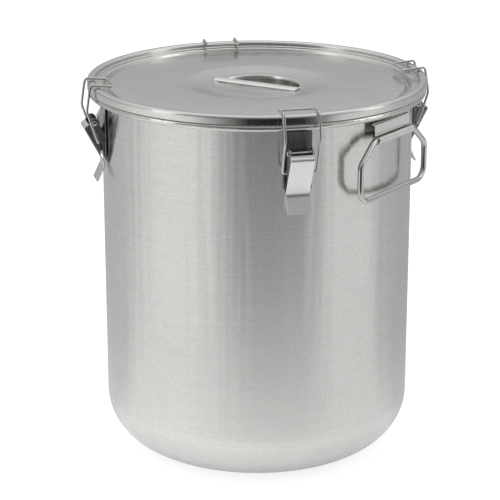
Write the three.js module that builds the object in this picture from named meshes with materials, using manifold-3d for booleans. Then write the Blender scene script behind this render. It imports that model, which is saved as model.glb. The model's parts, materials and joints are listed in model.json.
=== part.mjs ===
// Stainless milk can with a clamped lid: four draw latches, two swing handles and a recessed lid grip.
// Millimetres, +Z up. The origin is the middle of the flat base. The side handles lie on the X axis.
import * as THREE from 'three';
import * as BufferGeometryUtils from 'three/addons/utils/BufferGeometryUtils.js';
import Module from 'manifold-3d';

const wasm = await Module();
wasm.setup();

// ---- Driving dimensions ----
const BODY_RADIUS = 190; // outside of the wall
const BODY_HEIGHT = 456; // seat of the lid, on top of the rim
const WALL = 1.5; // sheet of the body
const LID_SHEET = 1.2; // sheet of the lid and of the rolled rim
const CORNER_RADIUS = 65; // drawn corner between base and wall
const GAP = 0.3; // clearance between pieces that touch
const SIDES = 40; // facets round the can
const BEAD_RADIUS = 4; // rolled rim
const BEAD_CENTRE = [202.3, 452]; // r, z of the rolled rim's middle
const LID_RADIUS = 207;
const LID_TOP = 467; // crest of the lid's rim
const LID_PANEL = 458.5; // flat top of the lid
const WELD_HEIGHT = CORNER_RADIUS + 10; // joint between base pan and wall
const LATCH_ANGLES = { front_right: -40, back_right: 50, back_left: 140, front_left: 230 };
const LATCH_HINGE = [203.5, 422]; // r, z of the lever's pin
const BAIL_PIVOT = [200.6, 398.5]; // r, z of the bail's ends, in the lever's cheeks
const LEVER_WIDTH = 28.5;
const LATCH_SHEET = 1.5;
const BAIL_WIRE = 1.5; // radius
const BAIL_HALF_WIDTH = 20.5;
const HANDLE_HINGE = [197.6, 423]; // r, z of the side handle's top bar
const HANDLE_ROD = 3.5; // radius
const GRIP_TURN = 6.5; // degrees between the lid grip and the side handles

const polished = () => new THREE.MeshStandardMaterial({ color: 0xcfcfca, roughness: 0.2, metalness: 1 });
const brushed = () => new THREE.MeshStandardMaterial({ color: 0xb4b4b0, roughness: 0.38, metalness: 1 });
const rubber = () => new THREE.MeshStandardMaterial({ color: 0xe2e0da, roughness: 0.8, metalness: 0 });

// ---- Helpers ----
function toSolid(geometry) {
  const plain = geometry.index ? geometry.toNonIndexed() : geometry.clone();
  plain.deleteAttribute('normal');
  plain.deleteAttribute('uv');
  const merged = BufferGeometryUtils.mergeVertices(plain, 1e-4);
  const vertProperties = Float32Array.from(merged.attributes.position.array);
  const triVerts = Uint32Array.from(merged.index.array);
  return new wasm.Manifold(new wasm.Mesh({ numProp: 3, vertProperties, triVerts }));
}

function toGeometry(solid) {
  const mesh = solid.getMesh();
  const geometry = new THREE.BufferGeometry();
  geometry.setAttribute('position', new THREE.BufferAttribute(mesh.vertProperties, 3));
  geometry.setIndex(new THREE.BufferAttribute(mesh.triVerts, 1));
  geometry.computeVertexNormals();
  return geometry;
}

function joined(geometries) {
  return toGeometry(geometries.map(toSolid).reduce((whole, next) => whole.add(next)));
}

// Points of an arc in the r-z plane, angles in degrees.
function arc([r, z], radius, from, to, steps) {
  return Array.from({ length: steps + 1 }, (_, i) => {
    const a = THREE.MathUtils.degToRad(from + ((to - from) * i) / steps);
    return [r + radius * Math.cos(a), z + radius * Math.sin(a)];
  });
}

// A body of revolution about Z from a closed r-z outline, given anticlockwise.
// An outline that starts on the axis ends on it too, and needs no closing line.
function revolved(outline) {
  const closed = outline[0][0] === 0 ? outline : [...outline, outline[0]];
  const points = closed.map(([r, z]) => new THREE.Vector2(r, z));
  return new THREE.LatheGeometry(points, SIDES).rotateX(Math.PI / 2);
}

// A plate whose outline lies in the r-z plane (r along X), between two distances along Y.
function plateAcross(outline, fromY, toY, holes = []) {
  const shape = new THREE.Shape(outline.map(([r, z]) => new THREE.Vector2(r, z)));
  for (const { at, radius } of holes) {
    shape.holes.push(new THREE.Path(arc(at, radius, 0, -330, 11).map(([r, z]) => new THREE.Vector2(r, z))));
  }
  const depth = toY - fromY;
  const plate = new THREE.ExtrudeGeometry(shape, { depth, bevelEnabled: false, steps: 1 });
  return plate.rotateX(Math.PI / 2).translate(0, toY, 0);
}

// A plate whose outline lies in the X-Y plane, between two heights.
function plateLevel(outline, fromZ, toZ) {
  const shape = new THREE.Shape(outline.map(([x, y]) => new THREE.Vector2(x, y)));
  const plate = new THREE.ExtrudeGeometry(shape, { depth: toZ - fromZ, bevelEnabled: false, steps: 1 });
  return plate.translate(0, 0, fromZ);
}

// A bent strip's outline: its middle line, with bends rounded, thickened by half a sheet each way.
function stripOutline(middle, thickness) {
  const side = (sign) =>
    middle.map(([r, z], i) => {
      const [r0, z0] = middle[Math.max(i - 1, 0)];
      const [r1, z1] = middle[Math.min(i + 1, middle.length - 1)];
      const length = Math.hypot(r1 - r0, z1 - z0);
      const half = (sign * thickness) / 2 / length;
      return [r - (z1 - z0) * half, z + (r1 - r0) * half];
    });
  return [...side(-1), ...side(1).reverse()];
}

// Replaces each inner corner of a polyline by a short curve.
function roundedLine(points, radius, steps) {
  const vectors = points.map((p) => new THREE.Vector3(...p, ...(p.length === 2 ? [0] : [])));
  const out = [vectors[0]];
  for (let i = 1; i < vectors.length - 1; i += 1) {
    const corner = vectors[i];
    const before = vectors[i - 1].clone().sub(corner);
    const after = vectors[i + 1].clone().sub(corner);
    const reach = Math.min(radius, before.length() * 0.45, after.length() * 0.45);
    const start = corner.clone().add(before.setLength(reach));
    const end = corner.clone().add(after.setLength(reach));
    out.push(...new THREE.QuadraticBezierCurve3(start, corner, end).getPoints(steps));
  }
  out.push(vectors.at(-1));
  return out;
}

// A line through given points, stepped from point to point.
class PointLine extends THREE.Curve {
  constructor(points) {
    super();
    this.points = points;
  }

  getPoint(t) {
    const place = t * (this.points.length - 1);
    const index = Math.min(Math.floor(place), this.points.length - 2);
    return this.points[index].clone().lerp(this.points[index + 1], place - index);
  }

  getPointAt(u) {
    return this.getPoint(u);
  }

  getTangentAt(u) {
    return this.getTangent(u);
  }
}

// A round rod along a polyline with rounded bends.
function rod(points, radius, bend, sides = 8, bendSteps = 3) {
  const line = roundedLine(points, bend, bendSteps);
  const section = new THREE.Shape(
    arc([0, 0], radius, 0, 360 - 360 / sides, sides - 1).map(([x, y]) => new THREE.Vector2(x, y)),
  );
  const steps = line.length - 1;
  return new THREE.ExtrudeGeometry(section, { steps, bevelEnabled: false, extrudePath: new PointLine(line) });
}

const group = new THREE.Group();
group.name = 'milk_can';

function addMesh(name, geometry, material, parent = group) {
  const mesh = new THREE.Mesh(geometry, material);
  mesh.name = name;
  parent.add(mesh);
  return mesh;
}

// ---- Can body ----
// The wall turns out at the top into a seat for the lid, and its edge curls down round a wire.
function canWall() {
  const inside = BODY_RADIUS - WALL;
  const curl = BEAD_RADIUS - LID_SHEET;
  const [beadR, beadZ] = BEAD_CENTRE;
  const under = BODY_HEIGHT - LID_SHEET;
  const outline = [
    [BODY_RADIUS, WELD_HEIGHT + GAP / 2],
    [BODY_RADIUS, under - 3.5],
    ...arc([BODY_RADIUS + 3.5, under - 3.5], 3.5, 150, 90, 2),
    ...arc([beadR, beadZ], curl, 90, -180, 8),
    ...arc([beadR, beadZ], BEAD_RADIUS, -180, 90, 9),
    ...arc([inside + 4.5, BODY_HEIGHT - 4.5], 4.5, 90, 180, 3),
    [inside, WELD_HEIGHT + GAP / 2],
  ];
  return revolved(outline);
}

function rimWire() {
  return new THREE.TorusGeometry(BEAD_CENTRE[0], 2.4, 8, SIDES);
}

// A drawn pan: flat base, large corner, short upright edge that meets the wall.
function bottomPan() {
  const top = WELD_HEIGHT - GAP / 2;
  const centre = [BODY_RADIUS - CORNER_RADIUS, CORNER_RADIUS];
  const outline = [
    [0, 0],
    ...arc(centre, CORNER_RADIUS, -90, 0, 8),
    [BODY_RADIUS, top],
    [BODY_RADIUS - WALL, top],
    ...arc(centre, CORNER_RADIUS - WALL, 0, -90, 8),
    [0, WALL],
  ];
  return revolved(outline);
}

// ---- Lid ----
const DISH = { outer: 89, inner: 62, floor: LID_PANEL - 3.5 };
const POCKET = { radius: 51, front: -6.5, floor: LID_PANEL - 24.5 }; // half-moon, behind the grip
const LEDGE = LID_PANEL + 2;
const CREST = [200.5, LID_RADIUS - 3.5]; // inner and outer end of the rim's flat crest

// Upper side of the lid from the middle outward; the rim's skirt ends just above the rolled rim.
function lidTopLine(drop) {
  const skirt = LID_RADIUS - drop;
  const wall = BODY_RADIUS + 7 + drop;
  return [
    [0, DISH.floor - drop],
    [DISH.inner - 3, DISH.floor - drop],
    [DISH.inner + 3, DISH.floor + 0.4 - drop],
    [DISH.outer - 3, LID_PANEL - 0.4 - drop],
    [DISH.outer + 2, LID_PANEL - drop],
    [181, LID_PANEL - drop],
    [183.5 + drop / 2 - 0.6, LID_PANEL - 5 - drop],
    [185.6 + drop / 2 - 0.6, LID_PANEL - 5 - drop],
    [188.4 + drop / 4 - 0.6, LEDGE - drop],
    [wall - 1, LEDGE - drop],
    [wall, LEDGE + 1 - drop],
    ...arc([CREST[0], LID_TOP - 3.5], 3.5 - drop, 180, 90, 3),
    ...arc([CREST[1], LID_TOP - 3.5], 3.5 - drop, 90, 0, 3),
    [skirt, BODY_HEIGHT + 0.6],
  ];
}

// A round outline cut off straight at the front, turned with the grip.
function halfMoon(radius, front) {
  const start = THREE.MathUtils.radToDeg(Math.asin(front / radius));
  return arc([0, 0], radius, start, 180 - start, 24);
}

function lidShell() {
  const { radius, front, floor } = POCKET;
  const block = (grow, fromZ, toZ) => {
    const outline = halfMoon(radius + grow, front - grow);
    return toSolid(plateLevel(outline, fromZ, toZ).rotateZ(THREE.MathUtils.degToRad(GRIP_TURN)));
  };
  const sheet = toSolid(revolved([...lidTopLine(LID_SHEET), ...lidTopLine(0).reverse()]));
  const cup = block(LID_SHEET, floor - LID_SHEET, DISH.floor - LID_SHEET / 2);
  return toGeometry(sheet.add(cup).subtract(block(0, floor, LID_TOP)));
}

// The seal fills the channel under the lid's rim and rests on the can's rim.
function lidGasket() {
  const inner = BODY_RADIUS + 7 + LID_SHEET + 0.5;
  const outer = LID_RADIUS - LID_SHEET - 0.5;
  const low = BODY_HEIGHT + GAP;
  const high = LID_TOP - LID_SHEET - 2.5;
  return revolved([
    [inner, low],
    [outer, low],
    [outer, high - 1.5],
    [outer - 1.5, high],
    [inner + 1.5, high],
    [inner, high - 1.5],
  ]);
}

// A flat strap along the straight side of the finger pocket, with its ends on the dish's floor.
function lidGrip() {
  const low = DISH.floor + GAP;
  const high = low + 2.4;
  const strap = plateAcross([[-57, low], [57, low], [57, high], [-57, high]], -8, 8);
  return strap.rotateZ(THREE.MathUtils.degToRad(GRIP_TURN));
}

// ---- Draw latch, built with its middle on the X axis ----
const PIN = 2; // radius of the lever's pin
const EAR = { inside: 10.9, outside: 12.4 }; // distances from the latch's middle
const CHEEK = { inside: LEVER_WIDTH / 2 - LATCH_SHEET, outside: LEVER_WIDTH / 2 };

// A back plate against the wall with two ears that hold the pin.
function latchBase() {
  const back = BODY_RADIUS + GAP;
  const front = back + LATCH_SHEET;
  const sheet = [[back, 377], [front, 377], [front, 444], [back, 444]];
  const plate = plateAcross(sheet, -17, 17);
  const outline = [
    [back + 0.2, 380],
    [front + 0.9, 381],
    [196.5, 398],
    [202.6, 415],
    ...arc(LATCH_HINGE, 4, -45, 150, 7),
    [back + 0.2, 406],
  ];
  const hole = [{ at: LATCH_HINGE, radius: PIN + 0.4 }];
  const right = plateAcross(outline, EAR.inside, EAR.outside, hole);
  const left = plateAcross(outline, -EAR.outside, -EAR.inside, hole);
  return joined([plate, right, left]);
}

// A headed pin through the ears and the lever's cheeks.
function latchPin() {
  const half = CHEEK.outside + 1.9;
  const shank = new THREE.CylinderGeometry(PIN, PIN, 2 * half - 1, 10);
  const head = (side) =>
    new THREE.CylinderGeometry(3.2, 3.2, 1.5, 12).translate(0, side * (half - 0.75), 0);
  return joined([shank, head(1), head(-1)]).translate(LATCH_HINGE[0], 0, LATCH_HINGE[1]);
}

// A folded channel: face plate, curled top, and cheeks that carry the pin and the bail's ends.
function latchLever() {
  const [hingeR, hingeZ] = LATCH_HINGE;
  const line = [[210.6, 420.4], [216.3, 417], [191.8, 370.3], [202, 349.2]];
  const middle = roundedLine(line, 5, 4).map((v) => [v.x, v.y]);
  const face = plateAcross(stripOutline(middle, LATCH_SHEET), -CHEEK.outside, CHEEK.outside);
  const outline = [
    [197, 383],
    [198.4, 383],
    [213.6, 412],
    [212.6, 418.5],
    ...arc(LATCH_HINGE, 5.8, 50, 180, 4),
    [hingeR - 5.4, hingeZ - 8],
    ...arc(BAIL_PIVOT, 4.2, 165, 215, 2),
  ];
  const holes = [{ at: LATCH_HINGE, radius: PIN + 0.4 }, { at: BAIL_PIVOT, radius: BAIL_WIRE + 0.5 }];
  const right = plateAcross(outline, CHEEK.inside, CHEEK.outside, holes);
  const left = plateAcross(outline, -CHEEK.outside, -CHEEK.inside, holes);
  return joined([face, right, left]);
}

// A wire loop: its ends sit in the cheeks, its legs kink outward, and its crossbar hooks over the lid's rim.
function latchBail() {
  const [pivotR, pivotZ] = BAIL_PIVOT;
  const y = BAIL_HALF_WIDTH;
  const crest = LID_TOP + BAIL_WIRE;
  const half = [
    [pivotR, CHEEK.inside - 0.2, pivotZ],
    [pivotR, y, pivotZ],
    [213.7, y, 438],
    [210.2, y, 460],
    [208.2, y, crest + 1.5],
    [181, y, crest - 1.2],
  ];
  const mirror = half.map(([r, t, z]) => [r, -t, z]).reverse();
  return rod([...half, ...mirror], BAIL_WIRE, 4);
}

// ---- Side swing handle, built on the X axis ----
const BRACKET = { half: 37.5, front: BODY_RADIUS + 5.6, top: 441.5, sheet: 1.6 };

// A plate held off the wall by its top flange, with its lower edge rolled round the handle's top bar.
function handleBracket() {
  const { half, front, top, sheet } = BRACKET;
  const [r, z] = HANDLE_HINGE;
  const back = front - sheet;
  const edge = BODY_RADIUS + GAP + 0.2;
  const turn = THREE.MathUtils.radToDeg(Math.asin(half / edge));
  const wallLine = arc([0, 0], edge, turn, -turn, 6);
  const topFlange = plateLevel([[back + 0.5, -half], [back + 0.5, half], ...wallLine], top - sheet, top);
  const face = plateAcross([[back, z + 4], [front, z + 4], [front, top], [back, top]], -half, half);
  const eye = plateAcross(
    arc([r, z], HANDLE_ROD + 1.9, 0, 345, 23),
    -half,
    half,
    [{ at: [r, z], radius: HANDLE_ROD + 0.45 }],
  );
  return joined([topFlange, face, eye]);
}

// A closed rod loop; its ends meet inside the rolled edge of the bracket.
function handleBail() {
  const [r, z] = HANDLE_HINGE;
  const half = [
    [r, GAP, z],
    [r, 42, z],
    [r, 69.5, z - 23.5],
    [r, 69.5, z - 59],
    [r, 60, z - 68],
  ];
  const mirror = half.map(([x, y, up]) => [x, -y, up]).reverse();
  return rod([...half, ...mirror], HANDLE_ROD, 6, 8, 3);
}

// ---- Assembly ----
addMesh('can_wall', canWall(), brushed());
addMesh('rim_wire', rimWire().translate(0, 0, BEAD_CENTRE[1]), polished());
addMesh('bottom_pan', bottomPan(), brushed());
addMesh('lid_shell', lidShell(), brushed());
addMesh('lid_gasket', lidGasket(), rubber());
addMesh('lid_grip', lidGrip(), polished());

for (const [place, angle] of Object.entries(LATCH_ANGLES)) {
  const latch = new THREE.Group();
  latch.rotation.z = THREE.MathUtils.degToRad(angle);
  addMesh(`latch_base_${place}`, latchBase(), brushed(), latch);
  addMesh(`latch_pin_${place}`, latchPin(), polished(), latch);
  addMesh(`latch_lever_${place}`, latchLever(), polished(), latch);
  addMesh(`latch_bail_${place}`, latchBail(), polished(), latch);
  group.add(latch);
}

for (const [place, angle] of [['right', 0], ['left', 180]]) {
  const side = new THREE.Group();
  side.rotation.z = THREE.MathUtils.degToRad(angle);
  addMesh(`handle_bracket_${place}`, handleBracket(), brushed(), side);
  addMesh(`handle_bail_${place}`, handleBail(), polished(), side);
  group.add(side);
}

export default group;
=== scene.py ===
import json
import math

import bmesh
import bpy
from mathutils import Matrix, Vector


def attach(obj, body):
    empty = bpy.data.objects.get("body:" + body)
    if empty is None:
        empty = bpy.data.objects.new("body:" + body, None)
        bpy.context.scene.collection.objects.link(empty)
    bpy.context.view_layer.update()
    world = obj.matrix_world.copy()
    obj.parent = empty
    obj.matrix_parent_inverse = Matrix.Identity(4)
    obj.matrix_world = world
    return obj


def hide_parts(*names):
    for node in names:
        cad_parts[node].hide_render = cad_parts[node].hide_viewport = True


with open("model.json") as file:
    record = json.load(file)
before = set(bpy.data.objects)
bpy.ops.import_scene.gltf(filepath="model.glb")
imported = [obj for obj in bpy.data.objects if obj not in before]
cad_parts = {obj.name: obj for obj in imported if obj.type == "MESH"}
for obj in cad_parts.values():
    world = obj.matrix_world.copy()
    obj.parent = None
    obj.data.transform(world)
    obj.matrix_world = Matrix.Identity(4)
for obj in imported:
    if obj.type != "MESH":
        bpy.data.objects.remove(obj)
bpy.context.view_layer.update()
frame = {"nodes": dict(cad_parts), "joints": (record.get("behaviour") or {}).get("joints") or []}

# ---- Sizes, in millimetres as in the CAD, made metres by MM ----
MM = 0.001
EDGE = 0.3  # softening of a plate's long edges
BODY_RADIUS = 190
SEAT = 456  # top of the can's rim
WALL = 1.5
LID_SHEET = 1.2
CORNER_RADIUS = 65
WELD_HEIGHT = CORNER_RADIUS + 10
BEAD = (202.3, 452)
BEAD_RADIUS = 4
LID_RADIUS = 207
LID_TOP = 467
LID_PANEL = 458.5
LEDGE = LID_PANEL + 2
DISH_OUTER = 89
DISH_INNER = 62
DISH_FLOOR = LID_PANEL - 3.5
POCKET_RADIUS = 51
POCKET_FRONT = -6.5
POCKET_MIDDLE = 18  # how far the pocket's middle lies behind the lid's
POCKET_FLOOR = LID_PANEL - 24.5
POCKET_CORNER = 14  # higher for a sharper corner
GRIP_TURN = 6.5
LEVER_HINGE = (203.5, 422)
BAIL_PIVOT = (200.6, 398.5)
GRIP_HALF_LENGTH = 57
GRIP_HALF_WIDTH = 8
GRIP_DOME = 21.8  # radius of the strap's crowned top
SHEET = 1.5
PLATE_LOW, PLATE_HIGH, PLATE_HALF = 377, 444, 17
EAR_SIDES = (10.9, 12.4)  # distances from the latch's middle to an ear's faces
LEVER_HALF = 14.25
CHEEK_INNER = 12.75
EAR_ROUND = 4
CHEEK_ROUND = 5.8
PIN_RADIUS = 2
HEAD_RADIUS = 3.2
HEAD_HEIGHT = 1.5
HEAD_DOME = 1.1
BAIL_WIRE = 1.5
BAIL_HALF = 20.5
BAIL_FOOT = 12.6  # where the bail's wire ends inside the lever, from the middle
BAIL_CREST = LID_TOP + BAIL_WIRE - 0.2
HANDLE_HINGE = (197.6, 423)
HANDLE_ROD = 3.5
HANDLE_HALF = 69.5
BRACKET_HALF = 37.5
BRACKET_FRONT = BODY_RADIUS + 5.6
BRACKET_TOP = 441.5
BRACKET_SHEET = 1.6
ROUND = 192  # facets round the can


# ---- Geometry helpers ----
def arc(centre, radius, start, end, steps):
    out = []
    for i in range(steps + 1):
        a = math.radians(start + (end - start) * i / steps)
        out.append((centre[0] + radius * math.cos(a), centre[1] + radius * math.sin(a)))
    return out


def rounded(points, radius, steps=5):
    """A polyline with each inner corner replaced by a short curve."""
    pts = [Vector(p) for p in points]
    out = [pts[0]]
    for before, corner, after in zip(pts, pts[1:], pts[2:]):
        reach = min(radius, (before - corner).length * 0.45, (after - corner).length * 0.45)
        a = corner + (before - corner).normalized() * reach
        b = corner + (after - corner).normalized() * reach
        for i in range(steps + 1):
            t = i / steps
            out.append(a * (1 - t) ** 2 + corner * 2 * t * (1 - t) + b * t * t)
    out.append(pts[-1])
    return out


def softened(outline, reach):
    """A closed outline with every corner cut back twice by at most reach, so sheet edges catch the light."""
    pts = [Vector(p) for p in outline]
    for _ in range(2):
        cut = []
        for i, p in enumerate(pts):
            for q in (pts[i - 1], pts[(i + 1) % len(pts)]):
                d = q - p
                cut.append(p + d.normalized() * min(reach, d.length * 0.25))
        pts = cut
        reach *= 0.5
    return pts


def add_object(name, verts, faces, body, slot, material, sharp=35, replaces=()):
    mesh = bpy.data.meshes.new(name)
    mesh.from_pydata([tuple(c * MM for c in v) for v in verts], [], faces)
    bm = bmesh.new()
    bm.from_mesh(mesh)
    bmesh.ops.remove_doubles(bm, verts=bm.verts, dist=1e-6)
    bmesh.ops.recalc_face_normals(bm, faces=bm.faces)
    bm.to_mesh(mesh)
    bm.free()
    mesh.shade_smooth()
    mesh.set_sharp_from_angle(angle=math.radians(sharp))
    obj = bpy.data.objects.new(name, mesh)
    bpy.context.scene.collection.objects.link(obj)
    mesh.materials.append(material)
    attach(obj, body)
    if replaces:
        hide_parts(*replaces)
    return obj


def lathe(outline, segments=ROUND):
    """Vertices and faces of a closed r-z outline turned about Z. Points at r = 0 become one vertex."""
    verts, rings = [], []
    for r, z in outline:
        start = len(verts)
        count = 1 if r < 1e-6 else segments
        for j in range(count):
            a = 2 * math.pi * j / segments
            verts.append((r * math.cos(a), r * math.sin(a), z))
        rings.append([start + (j if count > 1 else 0) for j in range(segments)])
    faces = []
    closed = outline[0][0] > 1e-6
    for i in range(len(rings) if closed else len(rings) - 1):
        low, high = rings[i], rings[(i + 1) % len(rings)]
        for j in range(segments):
            k = (j + 1) % segments
            quad = [low[j], low[k], high[k], high[j]]
            face = [v for n, v in enumerate(quad) if v not in quad[:n]]
            if len(face) > 2:
                faces.append(face)
    return verts, faces


def rod(points, radius, bend, sides=16, steps=7):
    """Vertices and faces of a round rod along a polyline with rounded bends and domed ends."""
    line = rounded(points, bend, steps)
    tangents = []
    for i, p in enumerate(line):
        t = Vector()
        if i:
            t += (p - line[i - 1]).normalized()
        if i < len(line) - 1:
            t += (line[i + 1] - p).normalized()
        tangents.append(t.normalized())
    rings = [(line[0], tangents[0], 0.7)]
    rings.append((line[0] + tangents[0] * radius * 0.3, tangents[0], 1.0))
    rings += [(p, t, 1.0) for p, t in zip(line[1:-1], tangents[1:-1])]
    rings.append((line[-1] - tangents[-1] * radius * 0.3, tangents[-1], 1.0))
    rings.append((line[-1], tangents[-1], 0.7))
    normal = Vector((0.31, 0.52, 0.8)).cross(tangents[0]).normalized()
    verts = []
    for p, t, scale in rings:
        normal = (normal - t * normal.dot(t)).normalized()
        side = t.cross(normal)
        for j in range(sides):
            a = 2 * math.pi * j / sides
            verts.append(p + (normal * math.cos(a) + side * math.sin(a)) * radius * scale)
    faces = []
    for i in range(len(rings) - 1):
        for j in range(sides):
            k = (j + 1) % sides
            a, b = i * sides, (i + 1) * sides
            faces.append([a + j, a + k, b + k, b + j])
    faces.append(list(range(sides))[::-1])
    last = (len(rings) - 1) * sides
    faces.append([last + j for j in range(sides)])
    return verts, faces


def across(outline, from_y, to_y, edge=EDGE):
    """A plate from an r-z outline, between two distances along Y, with its long edges softened."""
    outline = [Vector(p) for p in outline]
    inset = []
    count = len(outline)
    for i, p in enumerate(outline):
        a = (p - outline[i - 1]).normalized()
        b = (outline[(i + 1) % count] - p).normalized()
        n = Vector((-(a + b).y, (a + b).x))
        n = n.normalized() if n.length > 1e-6 else Vector((0, 0))
        inset.append(p + n * edge)
    area = sum(p.x * q.y - q.x * p.y for p, q in zip(outline, outline[1:] + outline[:1]))
    if area < 0:
        inset = [p * 2 - q for p, q in zip(outline, inset)]
    layers = [
        (inset, from_y),
        (outline, from_y + edge),
        (outline, to_y - edge),
        (inset, to_y),
    ]
    verts = [(p.x, y, p.y) for ring, y in layers for p in ring]
    faces = []
    for n in range(3):
        for i in range(count):
            k = (i + 1) % count
            faces.append([n * count + i, n * count + k, (n + 1) * count + k, (n + 1) * count + i])
    faces.append(list(range(count)))
    faces.append([3 * count + i for i in range(count)][::-1])
    return verts, faces


def strip(middle, thickness):
    """The outline of a bent sheet, from its middle line."""
    sides = [[], []]
    for i, p in enumerate(middle):
        d = (middle[min(i + 1, len(middle) - 1)] - middle[max(i - 1, 0)]).normalized()
        n = Vector((-d.y, d.x)) * thickness / 2
        sides[0].append(p - n)
        sides[1].append(p + n)
    return sides[0] + sides[1][::-1]


def merged(*parts):
    verts, faces = [], []
    for part_verts, part_faces in parts:
        base = len(verts)
        verts += [Vector(v) for v in part_verts]
        faces += [[i + base for i in f] for f in part_faces]
    return verts, faces


def turned(part, degrees):
    m = Matrix.Rotation(math.radians(degrees), 3, "Z")
    return [m @ Vector(v) for v in part[0]], part[1]


# ---- Node materials ----
class Tree:
    def __init__(self, tree):
        self.tree = tree

    def add(self, kind, **settings):
        node = self.tree.nodes.new(kind)
        for key, value in settings.items():
            setattr(node, key, value)
        return node

    def join(self, a, b):
        self.tree.links.new(a, b)

    def math(self, operation, a, b=0.0):
        node = self.add("ShaderNodeMath", operation=operation)
        for socket, value in zip(node.inputs, (a, b)):
            if isinstance(value, (int, float)):
                socket.default_value = value
            else:
                self.join(value, socket)
        return node.outputs[0]

    def weighted(self, *terms):
        """The sum of (value, weight) terms."""
        total = 0.0
        for value, weight in terms:
            total = self.math("ADD", self.math("MULTIPLY", value, weight), total)
        return total

    def stretched(self, x, y, z):
        """The object's own place, scaled along each axis."""
        node = self.add("ShaderNodeVectorMath", operation="MULTIPLY")
        self.join(self.object_place(), node.inputs[0])
        node.inputs[1].default_value = (x, y, z)
        return node.outputs[0]

    def object_place(self, kind="Object"):
        """Coordinates fixed to the object, or of another kind."""
        return self.add("ShaderNodeTexCoord").outputs[kind]

    def noise(self, vector, scale, detail=3.0, rough=0.55):
        node = self.add("ShaderNodeTexNoise")
        node.inputs["Scale"].default_value = scale
        node.inputs["Detail"].default_value = detail
        node.inputs["Roughness"].default_value = rough
        self.join(vector, node.inputs["Vector"])
        return node.outputs["Fac"]

    def ramp(self, value, low, high, from_low, from_high):
        node = self.add("ShaderNodeMapRange")
        self.join(value, node.inputs["Value"])
        node.inputs["From Min"].default_value = from_low
        node.inputs["From Max"].default_value = from_high
        node.inputs["To Min"].default_value = low
        node.inputs["To Max"].default_value = high
        return node.outputs["Result"]


class Shader(Tree):
    def __init__(self, name):
        self.material = bpy.data.materials.new(name)
        self.material.use_nodes = True
        super().__init__(self.material.node_tree)
        self.surface = self.tree.nodes["Principled BSDF"]

    def colours(self, value, stops):
        node = self.add("ShaderNodeValToRGB")
        ramp = node.color_ramp
        while len(ramp.elements) < len(stops):
            ramp.elements.new(0.5)
        for element, (position, colour) in zip(ramp.elements, stops):
            element.position = position
            element.color = (*colour, 1)
        self.join(value, node.inputs["Fac"])
        self.join(node.outputs["Color"], self.surface.inputs["Base Color"])

    def bump(self, height, strength, distance, after=None):
        node = self.add("ShaderNodeBump")
        node.inputs["Strength"].default_value = strength
        node.inputs["Distance"].default_value = distance
        self.join(height, node.inputs["Height"])
        if after:
            self.join(after, node.inputs["Normal"])
        self.join(node.outputs["Normal"], self.surface.inputs["Normal"])
        return node.outputs["Normal"]

    def set(self, **values):
        for key, value in values.items():
            self.surface.inputs[key.replace("_", " ")].default_value = value


def satin_steel(name, streak_source, base, spread, roughness, anisotropy, wave_scale, wave_height):
    """Stainless with fine brush lines and a sheet that isn't quite even.

    streak_source(shader) gives coordinates stretched along the lines."""
    s = Shader(name)
    s.set(Metallic=1.0, Anisotropic=anisotropy, Anisotropic_Rotation=0.25)
    tangent = s.add("ShaderNodeTangent", direction_type="RADIAL", axis="Z")
    s.join(tangent.outputs[0], s.surface.inputs["Tangent"])
    lines = streak_source(s)
    fine = s.noise(lines, 1.0, 4.0, 0.7)
    coarse = s.noise(lines, 0.22, 3.0, 0.6)
    smudge = s.noise(s.object_place(), 55.0, 5.0, 0.7)
    cloud = s.noise(s.stretched(1, 1, 0.6), 5.0, 3.0)
    speckle = s.noise(s.object_place(), 420.0, 2.0, 0.6)
    mixed = s.weighted((fine, 0.26), (coarse, 0.12), (speckle, 0.28), (cloud, 0.17), (smudge, 0.17))
    low = tuple(c - spread for c in base)
    high = tuple(c + spread for c in base)
    s.colours(mixed, [(0.36, low), (0.64, high)])
    brushed = s.ramp(fine, roughness[0], roughness[1], 0.25, 0.75)
    handled = s.ramp(smudge, -0.04, 0.05, 0.3, 0.7)
    s.join(s.math("ADD", brushed, handled), s.surface.inputs["Roughness"])
    waves = s.noise(s.stretched(*wave_scale), 1.0, 3.0, 0.55)
    s.bump(fine, 0.12, 0.00004, after=s.bump(waves, 1.0, wave_height))
    return s.material


def round_lines(s):
    return s.stretched(40, 40, 1400)


def straight_lines(s):
    return s.stretched(6, 600, 6)


def sheet_lines(s):
    return s.stretched(900, 900, 8)


def polished_steel(name, base, roughness):
    """Bright drawn wire and pressings, with faint draw lines and handling marks."""
    s = Shader(name)
    s.set(Metallic=1.0)
    grain = s.noise(s.stretched(120, 120, 120), 3.0, 4.0, 0.6)
    marks = s.noise(s.object_place(), 60.0, 5.0, 0.7)
    s.colours(grain, [(0.3, tuple(c * 0.93 for c in base)), (0.7, base)])
    s.join(s.ramp(marks, roughness[0], roughness[1], 0.35, 0.7), s.surface.inputs["Roughness"])
    s.bump(marks, 0.12, 0.00004)
    return s.material


def seal_rubber():
    s = Shader("pale_rubber")
    grain = s.noise(s.object_place(), 700.0, 4.0)
    age = s.noise(s.object_place(), 14.0, 3.0)
    s.colours(age, [(0.3, (0.66, 0.64, 0.59)), (0.7, (0.76, 0.74, 0.69))])
    s.join(s.ramp(grain, 0.55, 0.75, 0.3, 0.7), s.surface.inputs["Roughness"])
    s.bump(grain, 0.3, 0.0001)
    return s.material


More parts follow.
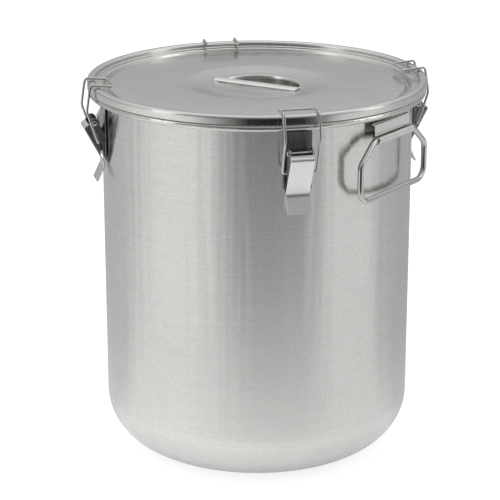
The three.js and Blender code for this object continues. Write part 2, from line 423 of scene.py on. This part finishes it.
wall_metal = satin_steel(
    "wall_steel",
    round_lines,
    base=(0.64, 0.635, 0.62),
    spread=0.08,
    roughness=(0.14, 0.26),
    anisotropy=0.7,
    wave_scale=(18, 18, 0.9),
    wave_height=0.0034,
)
lid_metal = satin_steel(
    "lid_steel",
    straight_lines,
    base=(0.65, 0.645, 0.63),
    spread=0.05,
    roughness=(0.14, 0.26),
    anisotropy=0.1,
    wave_scale=(14, 14, 14),
    wave_height=0.0008,
)
sheet_metal = satin_steel(
    "pressed_steel",
    sheet_lines,
    base=(0.8, 0.795, 0.78),
    spread=0.03,
    roughness=(0.26, 0.38),
    anisotropy=0.1,
    wave_scale=(40, 40, 40),
    wave_height=0.0002,
)
# A darker copy of the steel for the latch bases and lever cheeks: painted shade, darkening them where they
# stand in shade
painted_shade_metal = satin_steel(
    "painted_shade_steel",
    sheet_lines,
    base=(0.36, 0.355, 0.345),
    spread=0.04,
    roughness=(0.22, 0.34),
    anisotropy=0.1,
    wave_scale=(40, 40, 40),
    wave_height=0.0002,
)
wire_metal = polished_steel("wire_steel", (0.6, 0.595, 0.585), (0.08, 0.2))
rubber = seal_rubber()


# ---- Can body ----
def build_can():
    inside = BODY_RADIUS - WALL
    under = SEAT - LID_SHEET
    wall = [
        (BODY_RADIUS, WELD_HEIGHT),
        (BODY_RADIUS, under - 3.5),
        *arc((BODY_RADIUS + 3.5, under - 3.5), 3.5, 150, 90, 5),
        *arc(BEAD, BEAD_RADIUS - LID_SHEET, 90, -180, 22),
        *arc(BEAD, BEAD_RADIUS, -180, 90, 26),
        *arc((inside + 4.5, SEAT - 4.5), 4.5, 90, 180, 8),
        (inside, WELD_HEIGHT),
    ]
    add_object("wall_shell", *lathe(wall), "can", "satin_steel", wall_metal, replaces=["can_wall"])
    centre = (BODY_RADIUS - CORNER_RADIUS, CORNER_RADIUS)
    pan = [
        (0, 0),
        *arc(centre, CORNER_RADIUS, -90, 0, 28),
        (BODY_RADIUS, WELD_HEIGHT),
        (inside, WELD_HEIGHT),
        *arc(centre, CORNER_RADIUS - WALL, 0, -90, 28),
        (0, WALL),
    ]
    add_object("base_shell", *lathe(pan), "can", "satin_steel", wall_metal, replaces=["bottom_pan"])


# ---- Lid ----
def lid_line(drop):
    wall = BODY_RADIUS + 7 + drop
    line = [
        (DISH_INNER - 4, DISH_FLOOR - drop),
        (DISH_INNER, DISH_FLOOR - drop),
        (DISH_OUTER, LID_PANEL - drop),
        (DISH_OUTER + 4, LID_PANEL - drop),
        (181, LID_PANEL - drop),
        (183.5 + drop / 2 - 0.6, LID_PANEL - 5 - drop),
        (185.6 + drop / 2 - 0.6, LID_PANEL - 5 - drop),
        (188.4 + drop / 4 - 0.6, LEDGE - drop),
        (wall - 1, LEDGE - drop),
        (wall, LEDGE + 1 - drop),
    ]
    line = [tuple(p) for p in rounded(line, 1.6, 4)]
    line += arc((200.5, LID_TOP - 3.5), 3.5 - drop, 180, 90, 8)
    line += arc((LID_RADIUS - 3.5, LID_TOP - 3.5), 3.5 - drop, 90, 0, 8)
    line.append((LID_RADIUS - drop, SEAT + 0.6))
    return line


def half_moon(grow, z):
    """A ring of the pocket's outline, round at the back and straight at the front, grown outward."""
    radius, front = POCKET_RADIUS + grow, POCKET_FRONT - grow
    ring = []
    for j in range(ROUND):
        a = 2 * math.pi * j / ROUND
        up = POCKET_MIDDLE * math.sin(a)
        reach = math.sqrt(up * up + radius * radius - POCKET_MIDDLE ** 2) - up
        if math.sin(a) < -1e-3:
            straight = (front - POCKET_MIDDLE) / math.sin(a)
            reach = (reach ** -POCKET_CORNER + straight ** -POCKET_CORNER) ** (-1 / POCKET_CORNER)
        ring.append((reach * math.cos(a), POCKET_MIDDLE + reach * math.sin(a), z))
    return ring


def loft(rings):
    """Vertices and faces between rings of as many points each; the first and last are single points."""
    verts = [p for ring in rings for p in ring]
    starts = [sum(len(ring) for ring in rings[:i]) for i in range(len(rings))]
    faces = []
    for i in range(len(rings) - 1):
        for j in range(ROUND):
            corners = ((i, j), (i, j + 1), (i + 1, j + 1), (i + 1, j))
            quad = [starts[n] + m % len(rings[n]) for n, m in corners]
            faces.append([v for n, v in enumerate(quad) if v not in quad[:n]])
    return verts, faces


def pocket_rings(drop):
    """The finger pocket from its floor up to the dish."""
    floor = POCKET_FLOOR - drop
    edges = [(-5, 0), (-2.2, 0.5), (-0.7, 1.7), (-0.1, 4), (0, 16), (0.2, 19.6), (0.8, 20.6), (1.8, 21)]
    return [[(0, POCKET_MIDDLE, floor)]] + [half_moon(out + drop, floor + up) for out, up in edges]


def build_lid():
    circles = lid_line(0) + lid_line(LID_SHEET)[::-1]
    turns = [2 * math.pi * j / ROUND for j in range(ROUND)]
    rings = [[(r * math.cos(a), r * math.sin(a), z) for a in turns] for r, z in circles]
    pressing = loft(pocket_rings(0) + rings + pocket_rings(LID_SHEET)[::-1])
    pressing = turned(pressing, GRIP_TURN)
    add_object("lid_pressing", *pressing, "lid", "satin_steel", lid_metal, replaces=["lid_shell"])
    inner, outer = BODY_RADIUS + 7 + LID_SHEET + 0.5, LID_RADIUS - LID_SHEET - 0.5
    low, high = SEAT + 0.3, LID_TOP - LID_SHEET - 2.5
    seal = [
        (inner, low),
        (outer, low),
        (outer, high - 1.5),
        (outer - 1.5, high),
        (inner + 1.5, high),
        (inner, high - 1.5),
    ]
    seal = [tuple(p) for p in softened(seal, 0.7)]
    add_object("lid_seal", *lathe(seal, 128), "lid", "rubber_seal", rubber, replaces=["lid_gasket"])


def build_grip():
    low = DISH_FLOOR + 0.3
    dome = arc((0, low - 19.4), GRIP_DOME, 69, 111, 14)
    outline = [(-GRIP_HALF_WIDTH, low), (GRIP_HALF_WIDTH, low), *dome]
    section = across(outline, -GRIP_HALF_LENGTH, GRIP_HALF_LENGTH, 0.5)
    strap = turned(section, GRIP_TURN + 90)
    add_object("grip_strap", *strap, "lid", "polished_steel", sheet_metal, replaces=["lid_grip"])


# ---- Latches ----
def latch_angles():
    """Each latch's name and angle round the can, from its lever's joint."""
    for joint in frame["joints"]:
        if joint["name"].startswith("lever_"):
            x, y, _ = joint["pos_m"]
            yield joint["name"][len("lever_"):-len("_swing")], math.degrees(math.atan2(y, x))


def disc(radius, from_y, to_y, dome):
    """A round head about Y at the lever's hinge, domed on its outer side."""
    sign = 1 if to_y > from_y else -1
    profile = [(0, from_y), (radius, from_y), (radius, to_y - sign * dome)]
    for i in range(1, 5):
        a = math.pi / 2 * i / 5
        profile.append((radius * math.cos(a), to_y - sign * dome + sign * dome * math.sin(a)))
    profile.append((0, to_y))
    verts, faces = lathe(profile, 24)
    return [(x + LEVER_HINGE[0], z, y + LEVER_HINGE[1]) for x, y, z in verts], faces


def build_latch(place, angle):
    def put(name, part, body, slot, material, node):
        part = turned(part, angle)
        add_object(f"{name}_{place}", *part, body, slot, material, replaces=[f"{node}_{place}"])

    back = BODY_RADIUS + 0.3
    front = back + SHEET
    outline = [(back, PLATE_LOW), (front, PLATE_LOW), (front, PLATE_HIGH), (back, PLATE_HIGH)]
    plate = across(outline, -PLATE_HALF, PLATE_HALF)
    ear = [
        (back + 0.2, 380),
        (front + 0.9, 381),
        (196.5, 398),
        (202.6, 415),
        *arc(LEVER_HINGE, EAR_ROUND, -45, 150, 20),
        (back + 0.2, 406),
    ]
    near, far = EAR_SIDES
    ears = [across(ear, a, b, 0.2) for a, b in ((near, far), (-far, -near))]
    # The latch base takes the darker copy of the steel: painted shade
    put("ear_plate", merged(plate, *ears), "can", "satin_steel", painted_shade_metal, "latch_base")

    hinge_r, hinge_z = LEVER_HINGE
    end = LEVER_HALF + 0.6
    ends = [(hinge_r, -end, hinge_z), (hinge_r, 0, hinge_z), (hinge_r, end, hinge_z)]
    shank = rod(ends, PIN_RADIUS, 1, 16, 1)
    reach = LEVER_HALF + 0.4
    outer = reach + HEAD_HEIGHT
    heads = [disc(HEAD_RADIUS, side * reach, side * outer, HEAD_DOME) for side in (1, -1)]
    put("rivet", merged(shank, *heads), "can", "polished_steel", wire_metal, "latch_pin")

    line = [(210.6, 420.4), (216.3, 417), (191.8, 370.3), (202, 349.2)]
    middle = rounded(line, 5, 7)
    face = across(strip(middle, SHEET), -LEVER_HALF, LEVER_HALF, 0.35)
    cheek = [
        (197, 383),
        (198.4, 383),
        (213.6, 412),
        (212.6, 418.5),
        *arc(LEVER_HINGE, CHEEK_ROUND, 50, 180, 10),
        (hinge_r - 5.4, hinge_z - 8),
        *arc(BAIL_PIVOT, 4.2, 165, 215, 5),
    ]
    sides = ((CHEEK_INNER, LEVER_HALF), (-LEVER_HALF, -CHEEK_INNER))
    cheeks = [across(cheek, a, b, 0.2) for a, b in sides]
    body = f"lever_{place}"
    put("lever_plate", face, body, "polished_steel", sheet_metal, "latch_lever")
    cheeks = turned(merged(*cheeks), angle)
    # The cheeks take the darker copy of the steel: painted shade on the lever's sides
    add_object(f"lever_cheeks_{place}", *cheeks, body, "polished_steel", painted_shade_metal)

    pivot_r, pivot_z = BAIL_PIVOT
    half = [
        (pivot_r, BAIL_FOOT, pivot_z),
        (pivot_r, BAIL_HALF, pivot_z),
        (213.7, BAIL_HALF, 438),
        (210.2, BAIL_HALF, 460),
        (208.2, BAIL_HALF, BAIL_CREST + 1.5),
        (181, BAIL_HALF, BAIL_CREST - 1.2),
    ]
    bail = rod(half + [(a, -b, c) for a, b, c in half[::-1]], BAIL_WIRE, 4)
    put("wire_bail", bail, f"bail_{place}", "polished_steel", wire_metal, "latch_bail")


# ---- Side handles ----
def build_handle(place, angle):
    """A bracket of one sheet, its lower edge rolled round the handle's bar, and the handle."""
    r, z = HANDLE_HINGE
    face_r, flange_z = BRACKET_FRONT - 0.8, BRACKET_TOP - 0.8
    middle = rounded([(BODY_RADIUS + 0.9, flange_z), (face_r, flange_z), (face_r, z + 5)], BRACKET_SHEET, 4)
    roll = [Vector(p) for p in arc((r, z), HANDLE_ROD + 1.2, 105, 405, 30)]
    face = across(strip(middle + roll, BRACKET_SHEET - 0.1), -BRACKET_HALF, BRACKET_HALF)
    add_object(f"bracket_{place}", *turned(face, angle), "can", "satin_steel", sheet_metal,
               replaces=[f"handle_bracket_{place}"])
    half = [
        (r, 0.3, z),
        (r, 42, z),
        (r, HANDLE_HALF, z - 23.5),
        (r, HANDLE_HALF, z - 59),
        (r, 60, z - 68),
    ]
    loop = rod(half + [(a, -b, c) for a, b, c in half[::-1]], HANDLE_ROD, 6, 20, 8)
    add_object(f"swing_rod_{place}", *turned(loop, angle), f"handle_{place}", "polished_steel", wire_metal,
               replaces=[f"handle_bail_{place}"])


build_can()
build_lid()
build_grip()
for name, turn in latch_angles():
    build_latch(name, turn)
for name, turn in (("right", 0), ("left", 180)):
    build_handle(name, turn)
wire_node = frame["nodes"]["rim_wire"]
wire_node.data.materials.clear()
wire_node.data.materials.append(wire_metal)


# ---- Studio: floor, light, camera ----
VIEW_AZIMUTH = math.radians(36)
VIEW_DISTANCE = 12.059 * BODY_RADIUS * MM
VIEW_HEIGHT = 5.218 * BODY_RADIUS * MM
VIEW_PITCH = 0.316
LENS_WIDTHS = 3.8376  # focal length in frame widths
SIDE_STEP = 0.0144  # how far right of the middle the can stands, in frame widths

# Brightness of the studio, by (value, level) stops, each in order of value
FLOOR_ROUND = ((-1, 0.5), (-0.2, 0.72), (0.2, 0.98), (0.6, 1.0))  # by cosine of the angle from the camera
FLOOR_SIDE = ((-0.2, 1), (0.7, 0.86))  # by sine of that angle
# Painted contact shadow in the floor's glow close to the can's base, then a painted bright ring beside it
FLOOR_NEAR_SHADOW_AND_GLOW = ((0.13, 0.4), (0.18, 0.95), (0.25, 1.14), (0.5, 1))  # by metres from the can's middle
DIM_LEAN = 0.25  # sideways lean of the dim strip in front, per metre ahead
# Share of dimming by distance from the strip's middle, per metre ahead
DIM_WIDTH = ((0.34, 1), (1.2, 0))
# Dimming by metres ahead
DIM_DEPTH = ((0.2, 0.0), (0.4, 0.14), (0.7, 0.44), (1.05, 0.72), (1.3, 1.0))
# The room's level by cosine of the direction's angle from the camera, times another by its height
ROOM_ROUND = ((-1, 0.66), (-0.3, 0.74), (0.15, 0.95), (0.5, 0.6), (0.8, 0.32), (1, 0.22))
ROOM_ABOVE = ((0, 0.45), (0.2, 0.74), (0.34, 0.9), (0.5, 1.05), (0.9, 0.95))
PAPER_GLOW = 0.72
PAPER_WHITE = 0.6
FLOOR_SIZE = 6
# Name, turn round the can in degrees, distance, height, size and power
LIGHTS = (
    ("top_box", 180, 0.9, 2.2, (2.4, 1.6), 5),
    ("left_box", -62, 1.7, 0.9, (0.5, 1.5), 2),
    ("right_box", 80, 1.8, 0.9, (0.5, 1.5), 2),
)
LIGHTS_AIM = 0.2  # height the lights point at


def from_view(turn, distance, height):
    """A point at an angle round the can, measured to the right from the camera."""
    a = VIEW_AZIMUTH + math.radians(turn)
    return Vector((math.sin(a) * distance, -math.cos(a) * distance, height))


def build_camera():
    data = bpy.data.cameras.new("camera")
    data.sensor_width = 36
    data.lens = LENS_WIDTHS * data.sensor_width
    data.clip_end = 50
    camera = bpy.data.objects.new("camera", data)
    bpy.context.scene.collection.objects.link(camera)
    camera.location = from_view(0, VIEW_DISTANCE, VIEW_HEIGHT)
    right = Vector((math.cos(VIEW_AZIMUTH), math.sin(VIEW_AZIMUTH), 0))
    aim = Vector((0, 0, VIEW_HEIGHT - VIEW_DISTANCE * math.tan(VIEW_PITCH)))
    aim -= right * VIEW_DISTANCE * SIDE_STEP / LENS_WIDTHS
    camera.rotation_mode = "QUATERNION"
    camera.rotation_quaternion = (aim - camera.location).to_track_quat("-Z", "Y")
    bpy.context.scene.camera = camera


def area_light(name, turn, distance, height, size, power):
    data = bpy.data.lights.new(name, "AREA")
    data.shape = "RECTANGLE"
    data.size, data.size_y = size
    data.energy = power
    light = bpy.data.objects.new(name, data)
    bpy.context.scene.collection.objects.link(light)
    light.location = from_view(turn, distance, height)
    light.rotation_mode = "QUATERNION"
    light.rotation_quaternion = (Vector((0, 0, LIGHTS_AIM)) - light.location).to_track_quat("-Z", "Y")


def level_ramp(shader, value, low, high, stops):
    """A grey level from a value between low and high, by (value, level) stops."""
    node = shader.add("ShaderNodeValToRGB")
    ramp = node.color_ramp
    while len(ramp.elements) < len(stops):
        ramp.elements.new(0.5)
    for element, (at, level) in zip(ramp.elements, stops):
        element.position = (at - low) / (high - low)
        element.color = (level, level, level, 1)
    shader.join(shader.ramp(value, 0.0, 1.0, low, high), node.inputs["Fac"])
    return node.outputs["Color"]


def along(shader, vector, direction):
    node = shader.add("ShaderNodeVectorMath", operation="DOT_PRODUCT")
    shader.join(vector, node.inputs[0])
    node.inputs[1].default_value = direction
    return node.outputs["Value"]


def build_floor():
    """White paper to the eye. In the steel it glows with painted light: brightest beside the can, dimming
    towards the front, with a painted contact shadow right next to the can.
    """
    mesh = bpy.data.meshes.new("studio_floor")
    corners = [(x * FLOOR_SIZE, y * FLOOR_SIZE, 0) for x, y in ((-1, -1), (1, -1), (1, 1), (-1, 1))]
    mesh.from_pydata(corners, [], [(0, 1, 2, 3)])
    floor = bpy.data.objects.new("studio_floor", mesh)
    bpy.context.scene.collection.objects.link(floor)
    s = Shader("studio_paper")
    s.set(Roughness=1.0, Specular_IOR_Level=0.0)
    place = s.object_place()
    ahead = along(s, place, from_view(0, 1, 0))
    right = along(s, place, from_view(90, 1, 0))
    reach = s.math("SQRT", s.math("ADD", s.math("MULTIPLY", ahead, ahead), s.math("MULTIPLY", right, right)))
    reach = s.math("MAXIMUM", reach, 0.01)
    round_level = level_ramp(s, s.math("DIVIDE", ahead, reach), -1, 1, FLOOR_ROUND)
    lean = s.math("SUBTRACT", s.math("DIVIDE", right, s.math("MAXIMUM", ahead, 0.05)), DIM_LEAN)
    inside = level_ramp(s, s.math("ABSOLUTE", lean), 0, 2, DIM_WIDTH)
    depth = level_ramp(s, ahead, 0, 2, DIM_DEPTH)
    dim = s.math("SUBTRACT", 1.0, s.math("MULTIPLY", inside, depth))
    side_level = level_ramp(s, s.math("DIVIDE", right, reach), -1, 1, FLOOR_SIDE)
    # Painted contact shadow next to the can, in the glow that the steel reflects
    near_shadow_and_glow = level_ramp(s, reach, 0, 2, FLOOR_NEAR_SHADOW_AND_GLOW)
    glow = s.math("MULTIPLY", s.math("MULTIPLY", round_level, dim), side_level)
    glow = s.math("MULTIPLY", glow, near_shadow_and_glow)
    eye = s.add("ShaderNodeLightPath").outputs["Is Camera Ray"]
    unseen = s.math("SUBTRACT", 1.0, eye)
    strength = s.math("ADD", s.math("MULTIPLY", eye, PAPER_GLOW), s.math("MULTIPLY", unseen, glow))
    s.surface.inputs["Emission Color"].default_value = (1, 1, 1, 1)
    s.join(s.math("MULTIPLY", eye, PAPER_WHITE), s.surface.inputs["Base Color"])
    s.join(strength, s.surface.inputs["Emission Strength"])
    mesh.materials.append(s.material)


def build_world():
    world = bpy.data.worlds.new("studio")
    bpy.context.scene.world = world
    world.use_nodes = True
    s = Tree(world.node_tree)
    toward = s.object_place("Generated")
    level = level_ramp(s, along(s, toward, from_view(0, 1, 0)), -1, 1, ROOM_ROUND)
    above = level_ramp(s, along(s, toward, (0, 0, 1)), 0, 1, ROOM_ABOVE)
    sky = world.node_tree.nodes["Background"]
    sky.inputs["Color"].default_value = (1, 1, 1, 1)
    s.join(s.math("MULTIPLY", level, above), sky.inputs["Strength"])


def build_light():
    for row in LIGHTS:
        area_light(*row)


bpy.context.scene.view_settings.view_transform = "Standard"
build_floor()
build_world()
build_camera()
build_light()
